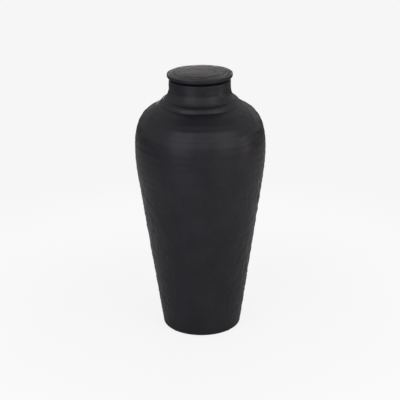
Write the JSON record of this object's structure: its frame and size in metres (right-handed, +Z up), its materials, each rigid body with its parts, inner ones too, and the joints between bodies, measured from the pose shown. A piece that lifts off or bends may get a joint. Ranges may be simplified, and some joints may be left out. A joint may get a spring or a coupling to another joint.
{
  "type": "lidded jar",
  "caption": "Tall lidded jar of matte black ceramic: tapered body on a small foot, full shoulder, rolled collar, short flared neck and a loose plate lid with a locating ring under it.",
  "frame": {"origin": "on the jar's axis, in the plane that the felt pads stand on", "axes": "+Z up the jar's axis of revolution; the picture looks along +Y, with +X to the right"},
  "size_m": [0.2433, 0.2434, 0.4999],
  "materials": {
    "black_stoneware": "matte, with fine throwing lines and shallow paddle marks",
    "pad_felt": "pressed wool felt"
  },
  "bodies": {
    "jar": {"jar_body": "black_stoneware", "felt_pads": "pad_felt"},
    "lid": {"lid": "black_stoneware"}
  },
  "joints": [
    {"name": "lid_lift", "type": "slide", "parent": "jar", "child": "lid", "axis": [0, 0, 1], "range_m": [0, 0.15]}
  ]
}
